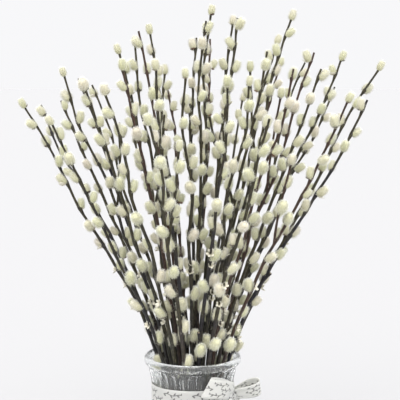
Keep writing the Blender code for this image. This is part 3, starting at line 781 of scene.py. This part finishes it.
def scale_variant(length, spread, flare):
    """A bud scale at the foot of a catkin: a thin cupped husk with a blunt point."""
    outer, inner, shares = [], [], []
    for i in range(SCALE_ROWS):
        t = i / (SCALE_ROWS - 1)
        u = SCALE_FOOT + length * t
        r = egg_share(u) * CATKIN_WIDTH * (SCALE_STAND + flare * t**2)
        wide = spread * (1 - t**SCALE_POINT_POWER * SCALE_POINT)
        for j in range(SCALE_COLUMNS):
            angle = wide * (2 * j / (SCALE_COLUMNS - 1) - 1)
            out = np.array([cos(angle), sin(angle), 0.0])
            outer.append(out * r + np.array([0, 0, u * CATKIN_LENGTH]))
            inner.append(outer[-1] - out * SCALE_THICKNESS)
            shares.append(t)
    count = len(outer)
    front = grid_faces(SCALE_ROWS, SCALE_COLUMNS, False)
    grid = np.arange(count).reshape(SCALE_ROWS, SCALE_COLUMNS)
    edge = [*grid[0], *grid[1:, -1], *grid[-1, -2::-1], *grid[-2:0:-1, 0]]
    rim = []
    for a, b in zip(edge, edge[1:] + edge[:1]):
        rim += [(a, a + count, b + count), (a, b + count, b)]
    faces = np.vstack([front, front[:, ::-1] + count, rim])
    return np.array(outer + inner), faces, np.array(shares * 2)[:, None]


def add_scale(shape, catkin, variant, papery, roll, rng):
    points, faces, data = variant
    marks = np.tile((rng.random(), 1.0 if papery else 0.0), (len(points), 1))
    shape.add(placed_on(catkin, points, roll), faces, np.hstack([data, marks]))


def clear_tuft(axis, axes, catkins, rng):
    """A place for a tuft on the outer side of a branch, clear of catkins and other stems, or None."""
    others = other_stems(axes, axis)
    for _ in range(TUFT_TRIES):
        height = rng.uniform(*TUFT_HEIGHTS)
        k = int(np.argmin(np.abs(axis.path[:, 2] - height)))
        x, y, _ = axis.path[k]
        angle = atan2(y, -x) + rng.uniform(-TUFT_ASIDE, TUFT_ASIDE)
        tuft = catkin_at(axis, k, angle, TUFT_LEAN, rng.uniform(*TUFT_SIZE), False)
        middle = tuft.root + tuft.axis * tuft.length / 2
        room = norm(others - middle, axis=1).min() - FOOT_THICKNESS / 2
        for centres, radii in map(catkin_balls, catkins):
            room = min(room, (norm(centres - middle, axis=1) - radii).min())
        if room > TUFT_CLEARANCE:
            return tuft
    return None


def add_tuft(shape, axis, axes, catkins, variants, rng):
    """A tuft of papery scales low on a branch, where there is room for one."""
    tuft = clear_tuft(axis, axes, catkins, rng)
    for n in range(TUFT_SCALES if tuft else 0):
        roll = (n + rng.uniform(-TUFT_UNEVENNESS, TUFT_UNEVENNESS)) * TURN / TUFT_SCALES
        add_scale(shape, tuft, rng.choice(variants), True, roll, rng)


def add_stub(shape, axis, share, axes, tone, rng):
    """The cut stub of a side shoot, on the side of the branch with the most room."""
    k = int(share * (len(axis.path) - 1))
    d = direction_at(axis.path, k)
    length = rng.uniform(*STUB_LENGTH)
    others = other_stems(axes, axis)
    tried = []
    for n in range(STUB_SIDES_TRIED):
        way = d + sideways_of(d, n * TURN / STUB_SIDES_TRIED) * tan(STUB_ANGLE)
        tried.append(axis.path[k] + np.outer(np.linspace(0, length, STUB_STEPS), way))
    path = max(tried, key=lambda path: norm(others - path[-1], axis=1).min())
    radii = np.full(STUB_STEPS, axis.radii[k] * STUB_THICKNESS)
    add_bark(shape, Record(path=path, radii=radii), [], tone, rng)


def fill(tree, made, inputs):
    """Fills a node's inputs, given by name or place, with sockets to link, numbers or colours."""
    for place, value in inputs.items():
        held = made.inputs[place]
        if isinstance(value, bpy.types.NodeSocket):
            tree.links.new(value, held)
        else:
            held.default_value = (*value, 1) if held.type == "RGBA" else value


def node(tree, kind, inputs, **settings):
    """The outputs of a new node, with these inputs and settings."""
    made = given(tree.nodes.new(kind), **settings)
    fill(tree, made, inputs)
    return made.outputs


def calculate(tree, operation, first, second=0.0, clamp=False):
    """A Math node on two inputs, each a socket or a number. Returns its output."""
    return node(tree, "ShaderNodeMath", {0: first, 1: second}, operation=operation, use_clamp=clamp)[0]


def ramp(tree, factor, stops):
    """A colour ramp on a factor, from (place, colour) stops. Returns its colour output."""
    made = tree.nodes.new("ShaderNodeValToRGB")
    held = made.color_ramp.elements
    for k, (place, colour) in enumerate(stops):
        given(held[k] if k < 2 else held.new(place), position=place, color=(*colour, 1))
    fill(tree, made, {0: factor})
    return made.outputs[0]


def rise_between(tree, factor, low, high):
    return ramp(tree, factor, ((low, (0, 0, 0)), (high, (1, 1, 1))))


def mix(tree, factor, first, second):
    """A colour mix of two inputs, each a socket or a colour. Returns its colour output."""
    return node(tree, "ShaderNodeMix", {0: factor, 6: first, 7: second}, data_type="RGBA")[2]


def object_place(tree, stretch=None):
    """The place on the object, or that place scaled unevenly."""
    place = node(tree, "ShaderNodeTexCoord", {})["Object"]
    return node(tree, "ShaderNodeMapping", {"Vector": place, "Scale": stretch})[0] if stretch else place


def noise(tree, scale, detail, stretch=None):
    place = object_place(tree, stretch)
    return node(tree, "ShaderNodeTexNoise", {"Scale": scale, "Detail": detail, "Vector": place})["Fac"]


def bump(tree, height, strength, distance):
    return node(tree, "ShaderNodeBump", {"Strength": strength, "Distance": distance, "Height": height})[0]


def new_material(name):
    made = bpy.data.materials.new(name)
    made.use_nodes = True
    return made, made.node_tree, made.node_tree.nodes["Principled BSDF"]


def attribute_parts(tree, name):
    """The three numbers held by a point attribute."""
    held = node(tree, "ShaderNodeAttribute", {}, attribute_name=name)["Vector"]
    return node(tree, "ShaderNodeSeparateXYZ", {0: held})


def bark_material():
    """Dark bark: charcoal low down, olive and brown higher up, with fine streaks along it and pale specks."""
    made, tree, shader = new_material("bark")
    do = partial(calculate, tree)
    height, tone, cut = attribute_parts(tree, "bark")
    streaks = noise(tree, *BARK_STREAKS)
    spread = rise_between(tree, streaks, *BARK_STREAK_RANGE)
    low = mix(tree, spread, BARK_SHADE, ramp(tree, tone, BARK_LOW_TONES))
    olive = mix(tree, spread, *BARK_OLIVE)
    brown = mix(tree, spread, *BARK_BROWN)
    upper = mix(tree, do("GREATER_THAN", tone, BARK_BROWN_FROM), olive, brown)
    rise = do("ADD", do("MULTIPLY", height, BARK_UPPER_HEIGHT_SHARE), noise(tree, *BARK_PATCHES))
    rise = do("ADD", rise, do("MULTIPLY", tone, BARK_UPPER_TONE_SHARE))
    colour = mix(tree, rise_between(tree, rise, *BARK_UPPER_RANGE), low, upper)
    cells = node(tree, "ShaderNodeTexVoronoi", {"Scale": SPECK_SCALE, "Vector": object_place(tree)})
    speck = do("LESS_THAN", cells["Distance"], SPECK_SIZE)
    colour = mix(tree, do("MULTIPLY", speck, SPECK_SHARE), colour, BARK_SPECK)
    colour = mix(tree, do("MULTIPLY", cut, CUT_SHARE), colour, BARK_CUT)
    fill(tree, shader, {
        "Base Color": colour,
        "Roughness": 0.6,
        "Specular IOR Level": 0.35,
        "Normal": bump(tree, streaks, 0.5, 0.3 * MM),
    })
    return made


def catkin_material():
    """Silky fur: an olive core under pale cream hairs, with painted shade that darkens it towards its foot,
    and varied a little.
    """
    made, tree, shader = new_material("catkin")
    depth, tint, along = attribute_parts(tree, "fur")
    colour = mix(tree, depth, ramp(tree, tint, FUR_CORE), ramp(tree, tint, FUR_HAIR))
    # Painted shade: the colour turns to a darker olive towards the catkin's foot, over its lower part
    low = calculate(tree, "SUBTRACT", FUR_SHADE_REACH, along, clamp=True)
    low = calculate(tree, "MULTIPLY", low, FUR_SHADE_STRENGTH)
    fill(tree, shader, {
        "Base Color": mix(tree, low, colour, FUR_FOOT_SHADE),
        "Roughness": 0.85,
        "Specular IOR Level": 0.25,
        "Sheen Weight": 1.0,
        "Sheen Roughness": 0.5,
        "Sheen Tint": FUR_SHEEN,
    })
    return made


def scale_material():
    """Dry bud scales: glossy red brown to black, or pale and papery."""
    made, tree, shader = new_material("bud_scale")
    along, tint, papery = attribute_parts(tree, "husk")
    tip = calculate(tree, "MULTIPLY", along, HUSK_TIP_SHARE)
    pale = mix(tree, tip, ramp(tree, tint, HUSK_PALE), HUSK_TIP)
    fill(tree, shader, {
        "Base Color": mix(tree, papery, ramp(tree, tint, HUSK_BROWN), pale),
        "Roughness": 0.5,
        "Normal": bump(tree, noise(tree, *HUSK_GRAIN), 0.3, 0.2 * MM),
    })
    return made


def glass_material():
    made, tree, shader = new_material("glass")
    fill(tree, shader, {
        "Base Color": GLASS_TINT,
        "Roughness": 0.02,
        "IOR": 1.5,
        "Transmission Weight": 0.96,
        "Normal": bump(tree, noise(tree, *GLASS_WAVES), 0.3, 1 * MM),
    })
    return made


def sprig_row(tree, along, across, height, length, shift):
    """Where one row of sprigs is printed: a waved stem with slanted leaves, in groups."""
    do = partial(calculate, tree)
    place = do("ADD", do("DIVIDE", along, length), shift)
    wave = do("MULTIPLY", do("SINE", do("MULTIPLY", place, pi)), SPRIG_WAVE)
    off = do("SUBTRACT", across, do("ADD", wave, height))
    stem = do("LESS_THAN", do("ABSOLUTE", off), SPRIG_STEM)
    local = do("SUBTRACT", do("FRACT", do("MULTIPLY", place, 2)), 0.5)
    upper = do("GREATER_THAN", do("FRACT", place), 0.5)
    flip = do("SUBTRACT", do("MULTIPLY", upper, 2), 1.0)
    slope = do("ADD", do("MULTIPLY", local, LEAF_SLANT), LEAF_STAND)
    slanted = do("SUBTRACT", off, do("MULTIPLY", slope, flip))
    leaf_x = do("POWER", do("DIVIDE", local, LEAF_LONG), 2)
    leaf_y = do("POWER", do("DIVIDE", slanted, LEAF_WIDE), 2)
    leaf = do("LESS_THAN", do("ADD", leaf_x, leaf_y), 1.0)
    group = do("LESS_THAN", do("FRACT", do("DIVIDE", place, SPRIG_GROUP)), SPRIG_GROUP_SHARE)
    return do("MULTIPLY", do("MAXIMUM", stem, leaf), group)


def ribbon_material():
    """Cream cotton tape with a fine weave and three rows of small printed sprigs."""
    made, tree, shader = new_material("ribbon")
    do = partial(calculate, tree)
    flat = node(tree, "ShaderNodeUVMap", {}, uv_map="cloth")[0]
    along, across, _ = node(tree, "ShaderNodeSeparateXYZ", {0: flat})
    rows = [sprig_row(tree, along, across, *row) for row in SPRIG_ROWS]
    printed = reduce(partial(do, "MAXIMUM"), rows)
    ink = do("MULTIPLY", printed, do("ADD", noise(tree, *INK_WEAR), INK_LEAST), clamp=True)
    warp = do("SINE", do("MULTIPLY", along, TURN / WARP_SPACING))
    weft = do("SINE", do("MULTIPLY", across, TURN * WEFT_THREADS))
    fill(tree, shader, {
        "Base Color": mix(tree, ink, mix(tree, noise(tree, *CLOTH_PATCHES), *CLOTH_TONES), INK),
        "Roughness": 0.8,
        "Normal": bump(tree, do("MULTIPLY", warp, weft), 0.35, 0.1 * MM),
        "Sheen Weight": 0.2,
        "Subsurface Weight": 0.6,
        "Subsurface Radius": (1.0, 1.0, 0.9),
        "Subsurface Scale": 4 * MM,
    })
    return made


def vase_outline():
    """Radius, height and share of ribs along the outline, from the lip down, under the foot and up inside."""
    half = LIP_THICKNESS / 2
    turn = pi / 2 + LIP_UNDERCUT
    low, high = FOOT_ROUNDING, VASE_HEIGHT - LIP_HEIGHT - LIP_FOOT
    inside = FLOOR + 2 * FOOT_ROUNDING
    corner = vase_radius(inside) - WALL

    def lip(angle):
        out = RIM_RADIUS - half + half * cos(angle)
        return out, VASE_HEIGHT + LIP_HEIGHT / 2 * (sin(angle) - 1), 0.0

    def side(k, foot, inwards, ribs):
        z = foot + (high - foot) * k / WALL_RINGS
        fade = smoothstep((z - foot) / FLOOR) * smoothstep((high - z) / FLOOR)
        return vase_radius(z) - inwards, z, ribs * fade

    def rounding(k, out, top, radius):
        angle = pi / 2 * k / ROUNDING_STEPS
        return out - radius * (1 - cos(angle)), top - radius * sin(angle), 0.0

    points = [lip(pi / 2 - turn * k / LIP_STEPS) for k in range(LIP_STEPS + 1)]
    points += [side(k, low, 0, -1) for k in range(WALL_RINGS, -1, -1)]
    points += [rounding(k, vase_radius(low), low, FOOT_ROUNDING) for k in range(1, ROUNDING_STEPS + 1)]
    points += [(FOOT_RADIUS * share, 0.0, 0.0) for share in FLOOR_RINGS]
    points += [(FOOT_RADIUS * share, FLOOR, 0.0) for share in reversed(FLOOR_RINGS)]
    points += [rounding(k, corner, inside, 2 * FOOT_ROUNDING) for k in range(ROUNDING_STEPS, -1, -1)]
    points += [side(k, inside, WALL, 1) for k in range(1, WALL_RINGS + 1)]
    points += [lip(pi / 2 + turn - turn * k / LIP_STEPS) for k in range(LIP_STEPS)]
    return points


def make_vase(material):
    """The turned glass, with slightly twisted ribs that stand out on both sides of its wall."""
    points, rows, faces = [], [], []
    for r, z, ribbed in vase_outline():
        if r < MERGE:
            rows.append([len(points)] * FINE_VASE_SIDES)
            points.append((0, 0, z))
            continue
        rows.append(range(len(points), len(points) + FINE_VASE_SIDES))
        for j in range(FINE_VASE_SIDES):
            angle = TURN * j / FINE_VASE_SIDES
            turn = OPTIC_RIBS * angle + RIB_TWIST * z / VASE_HEIGHT
            out = r - ribbed * RIB_DEPTH * (1 - 2 * abs(cos(turn / 2)))
            points.append((out * cos(angle), out * sin(angle), z))
    for upper, lower in zip(rows, rows[1:] + rows[:1]):
        for j in range(FINE_VASE_SIDES):
            beside = (j + 1) % FINE_VASE_SIDES
            face = list(dict.fromkeys((upper[j], lower[j], lower[beside], upper[beside])))
            if len(face) > 2:
                faces.append(face)
    return mesh_object("vase_glass", points, faces, material)


def band_rows():
    """The ribbon's turn round the neck, lifted a little here and there."""
    rows = []
    for k in range(BAND_STEPS + 1):
        angle = KNOT_TURN + TURN * k / BAND_STEPS
        out = Vector((cos(angle), sin(angle), 0))
        lift = BAND_LIFT * (1 + sin(5 * angle + 1) * sin(2 * angle))
        row = []
        for v in RIBBON_ACROSS:
            z = RIBBON_TOP - RIBBON_WIDTH / 2 + v * (RIBBON_WIDTH - BAND_TRIM) - RIBBON_TILT * sin(angle)
            r = NECK_RADIUS + 2 * CLOTH_THICKNESS + lift * (2 * v) ** 2
            row.append((out * r + UP * z, (k / BAND_STEPS * TURN * NECK_RADIUS, v)))
        rows.append(row)
    return rows


def pinched(full_width, share):
    """The ribbon's width, from pinched in the knot to a share of its whole width."""
    return RIBBON_WIDTH * (KNOT_PINCH + (full_width - KNOT_PINCH) * share)


def strip_rows(strip, walked):
    """Rows of points across a strip of ribbon, with its folds, and their places on the flat cloth."""
    rows = []
    before = strip[0][0]
    for point, width, across, normal, fold in strip:
        walked += (point - before).length
        before = point
        row = []
        for v in RIBBON_ACROSS:
            crease = fold * sin(v * TURN * STRIP_FOLDS + STRIP_FOLD_SHIFT)
            row.append((point + across * width * v + normal * crease, (walked, v)))
        rows.append(row)
    return rows


def loop_rows(loop):
    """One loop of the bow, which leaves the knot round the neck and outwards, and comes back to it."""
    side, length, lean = loop.side, loop.length, loop.lean
    strip = []
    for k in range(LOOP_STEPS + 1):
        t = k / LOOP_STEPS * TURN
        full = sin(t / 2) ** 2
        reach = full * length
        belly = sin(t) * reach * loop.belly + LOOP_END_GAP * cos(t / 2)
        angle = KNOT_TURN - side * reach * cos(lean) / KNOT_STAND
        radial = Vector((cos(angle), sin(angle), 0))
        onward = radial.cross(UP) * side * cos(lean) + radial * sin(lean) + UP * loop.slope
        onward.normalize()
        away = (radial - onward * radial.dot(onward)).normalized()
        height = KNOT_HEIGHT + loop.rise * length * full**loop.lift
        point = radial * (KNOT_STAND + reach * sin(lean)) + UP * height + away * belly
        width = pinched(loop.width, full**LOOP_WIDENING_POWER)
        strip.append((point, width, onward.cross(away).normalized(), away, STRIP_FOLD * (1 - full) ** 2))
    return strip_rows(strip, LOOP_CLOTH_START * (side + 2))


def tail_line(tail):
    """Points down the middle of one end of the ribbon, which leaves the knot sideways and turns down."""
    aside, height = 0.0, KNOT_HEIGHT
    points = []
    for k in range(TAIL_POINTS + 1):
        t = k / TAIL_POINTS
        surface = vase_radius(max(height, BELLY_HEIGHT)) + TAIL_STAND
        radius = KNOT_STAND + max(surface - KNOT_STAND, -TAIL_DIP) * smoothstep(2 * t)
        radius += tail.arch * sin(pi * min(2 * t, 1.0))
        angle = KNOT_TURN - tail.side * aside / KNOT_STAND
        points.append(Vector((cos(angle) * radius, sin(angle) * radius, height)))
        heading = tail.leaves + (TAIL_FALL - tail.leaves) * smoothstep(t / TAIL_TURN)
        aside += cos(heading) * tail.length / TAIL_POINTS
        height += sin(heading) * tail.length / TAIL_POINTS
    return points


def tail_rows(tail):
    """One end of the ribbon, which hangs from the knot down the vase's side, cut to a notch."""
    points = tail_line(tail)
    strip = []
    for k, point in enumerate(points):
        t = k / TAIL_POINTS
        onward = (points[min(k + 1, TAIL_POINTS)] - points[max(k - 1, 0)]).normalized()
        across = Vector((point.x, point.y, 0)).cross(onward).normalized()
        face = onward.cross(across)
        width = pinched(TAIL_FULL_WIDTH, smoothstep(t / TAIL_OPENING))
        ripple = face * sin(t * TAIL_WAVES) * TAIL_RIPPLE * t
        strip.append((point + ripple, width, across, face, STRIP_FOLD * (1 - t) ** 2))
    rows = strip_rows(strip, TAIL_CLOTH_START)
    for k, row in enumerate(rows):
        share = smoothstep((k / TAIL_POINTS - TAIL_NOTCH_START) / (1 - TAIL_NOTCH_START))
        for j, (point, (along, v)) in enumerate(row):
            cut = tail.length * TAIL_NOTCH * share * (1 - abs(2 * v))
            row[j] = (point + UP * cut, (along - cut, v))
    return rows


def knot_rows():
    """The knot: one turn of ribbon drawn tight round the roots of the loops."""
    middle = KNOT_OUT * KNOT_STAND + UP * KNOT_HEIGHT
    rows = []
    for k in range(KNOT_STEPS + 1):
        angle = TURN * k / KNOT_STEPS
        round_knot = KNOT_OUT * cos(angle) * KNOT_SIZE[1] / 2 + UP * sin(angle) * KNOT_SIZE[2] / 2
        row = []
        for v in RIBBON_ACROSS:
            crease = 1 + KNOT_CREASE * sin(v * KNOT_CREASES + 2 * sin(angle))
            bulge = (1 - KNOT_HOLLOW * (2 * v) ** 2) * crease
            point = middle + round_knot * bulge + KNOT_ALONG * v * KNOT_SIZE[0]
            row.append((point, (k / KNOT_STEPS * KNOT_CLOTH[0], v * KNOT_CLOTH[1])))
        rows.append(row)
    return rows


def make_ribbon(material):
    """The whole ribbon: its turn round the neck, its knot, two loops and two ends, as thin cloth."""
    points, faces, flats = [], [], []
    columns = len(RIBBON_ACROSS)
    for rows in [band_rows(), knot_rows(), *map(loop_rows, LOOPS), *map(tail_rows, TAILS)]:
        first = len(points)
        for row in rows:
            points += [tuple(p) for p, _ in row]
            flats += [flat for _, flat in row]
        for i in range(len(rows) - 1):
            for j in range(columns - 1):
                a = first + i * columns + j
                faces.append((a, a + 1, a + columns + 1, a + columns))
    ribbon = mesh_object("ribbon_cloth", points, faces, material)
    add_flat_map(ribbon.data, "cloth", flats)
    given(ribbon.modifiers.new("thickness", "SOLIDIFY"), thickness=CLOTH_THICKNESS, offset=0.0)
    return ribbon


def add_camera():
    camera = linked("camera", bpy.data.cameras.new("camera"))
    aim = Vector(((PHOTO_SIZE / 2 - VASE_PIXEL_X) * PHOTO_PIXEL, 0, CAMERA_AIM_HEIGHT))
    back = Vector((0, -cos(CAMERA_PITCH), sin(CAMERA_PITCH)))
    camera.location = aim + back * CAMERA_DISTANCE
    camera.rotation_euler = (-back).to_track_quat("-Z", "Y").to_euler()
    camera.data.sensor_width = SENSOR_WIDTH
    camera.data.lens = SENSOR_WIDTH * CAMERA_DISTANCE / (PHOTO_SIZE * PHOTO_PIXEL)
    bpy.context.scene.camera = camera


def add_card(turn):
    """A narrow bright strip that lies low beside the vase, and shows only as a streak in glossy surfaces."""
    light = given(bpy.data.lights.new("card", "AREA"), shape="RECTANGLE", size=CARD_WIDTH, size_y=CARD_LENGTH)
    light.energy = CARD_RADIANCE * pi * CARD_WIDTH * CARD_LENGTH
    card = linked("card", light)
    away = CARD_NEAR + CARD_LENGTH / 2
    card.location = (sin(turn) * away, -cos(turn) * away, CARD_HEIGHT)
    card.rotation_euler = (pi, 0, turn)
    given(card, visible_camera=False, visible_diffuse=False, visible_transmission=False)


def add_stage():
    """A plain pale floor as bright as the even surround, two soft lights, and the strips beside the vase."""
    brightness = 0.0
    for name, towards, strength, angle, colour in LIGHTS:
        sun = given(bpy.data.lights.new(name, "SUN"), energy=strength, angle=angle, color=colour)
        linked(name, sun).rotation_euler = Vector(towards).to_track_quat("Z", "Y").to_euler()
        brightness += strength * Vector(towards).normalized().z / pi
    for turn in CARD_TURNS:
        add_card(turn)
    pale = [c * SURROUND_STRENGTH / (SURROUND_STRENGTH + brightness) for c in SURROUND_COLOUR]
    made, tree, shader = new_material("floor")
    fill(tree, shader, {"Base Color": pale, "Roughness": 0.9, "Specular IOR Level": 0.0})
    turns = np.arange(FLOOR_SIDES) * TURN / FLOOR_SIDES
    edge = [(FLOOR_REACH * cos(a), FLOOR_REACH * sin(a), 0) for a in turns]
    floor = mesh_object("floor", edge, [range(FLOOR_SIDES)], made)
    world = bpy.data.worlds.new("surround")
    world.use_nodes = True
    surround = {"Color": SURROUND_COLOUR, "Strength": SURROUND_STRENGTH}
    fill(world.node_tree, world.node_tree.nodes["Background"], surround)
    bpy.context.scene.world = world
    bpy.context.scene.view_settings.view_transform = "Standard"


def make_branches():
    """The bark, catkins and bud scales of every branch, each riding where its solid is."""
    bark, fur, husk = bark_material(), catkin_material(), scale_material()
    rng = random.Random(SEED + 2)
    variants = [fur_variant(rng) for _ in range(FUR_VARIANTS)]
    cups = [scale_variant(*form) for form in SCALE_CUPS]
    papers = [scale_variant(*form) for form in SCALE_PAPERS]
    petals = [scale_variant(*form) for form in TUFT_PETALS]
    axes = all_axes()
    catkins = place_catkins(axes)
    extras = random.Random(SEED + 3)
    stubs = dict(STUBS)
    for number in range(len(BRANCH_TIPS)):
        name = f"{number + 1:02d}"
        own = [c for c in catkins if c.branch == number]
        bark_shape, fur_shape, husk_shape = Shape(), Shape(), Shape()
        tone = rng.random()
        for axis in axes:
            if axis.branch == number:
                add_bark(bark_shape, axis, [c for c in own if c.shoot == axis.shoot], tone, rng)
        if number in stubs:
            add_stub(bark_shape, axes[number], stubs[number], axes, tone, extras)
        cells = ceil(sqrt(len(own)))
        for cell, catkin in enumerate(own):
            add_fur(fur_shape, catkin, rng.choice(variants), cell, cells, rng)
            if rng.random() < SCALE_SHARE:
                papery = rng.random() < PAPERY_SHARE
                scale = rng.choice(papers if papery else cups)
                add_scale(husk_shape, catkin, scale, papery, rng.uniform(-SCALE_ROLL, SCALE_ROLL), rng)
        for _ in range(MOST_TUFTS):
            if extras.random() < TUFT_SHARE:
                add_tuft(husk_shape, axes[number], axes, catkins, petals, extras)
        stem = bark_shape.make(f"bark_{name}", "bark", bark)
        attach(stem, "root")
        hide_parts(f"branch_{name}")
        furs = fur_shape.make(f"catkins_{name}", "fur", fur)
        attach(furs, "root")
        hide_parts(f"branch_{name}")
        if husk_shape.count:
            husks = husk_shape.make(f"bud_scales_{name}", "husk", husk)
            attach(husks, "root")


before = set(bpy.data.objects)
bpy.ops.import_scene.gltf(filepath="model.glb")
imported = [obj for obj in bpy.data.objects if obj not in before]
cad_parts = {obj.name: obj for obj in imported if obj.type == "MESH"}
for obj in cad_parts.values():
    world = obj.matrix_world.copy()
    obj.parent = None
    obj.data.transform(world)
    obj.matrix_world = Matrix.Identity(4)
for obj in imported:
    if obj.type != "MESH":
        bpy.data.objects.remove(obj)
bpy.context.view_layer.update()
add_camera()
vase = make_vase(glass_material())
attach(vase, "root")
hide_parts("vase")
ribbon = make_ribbon(ribbon_material())
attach(ribbon, "root")
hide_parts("ribbon")
make_branches()
add_stage()
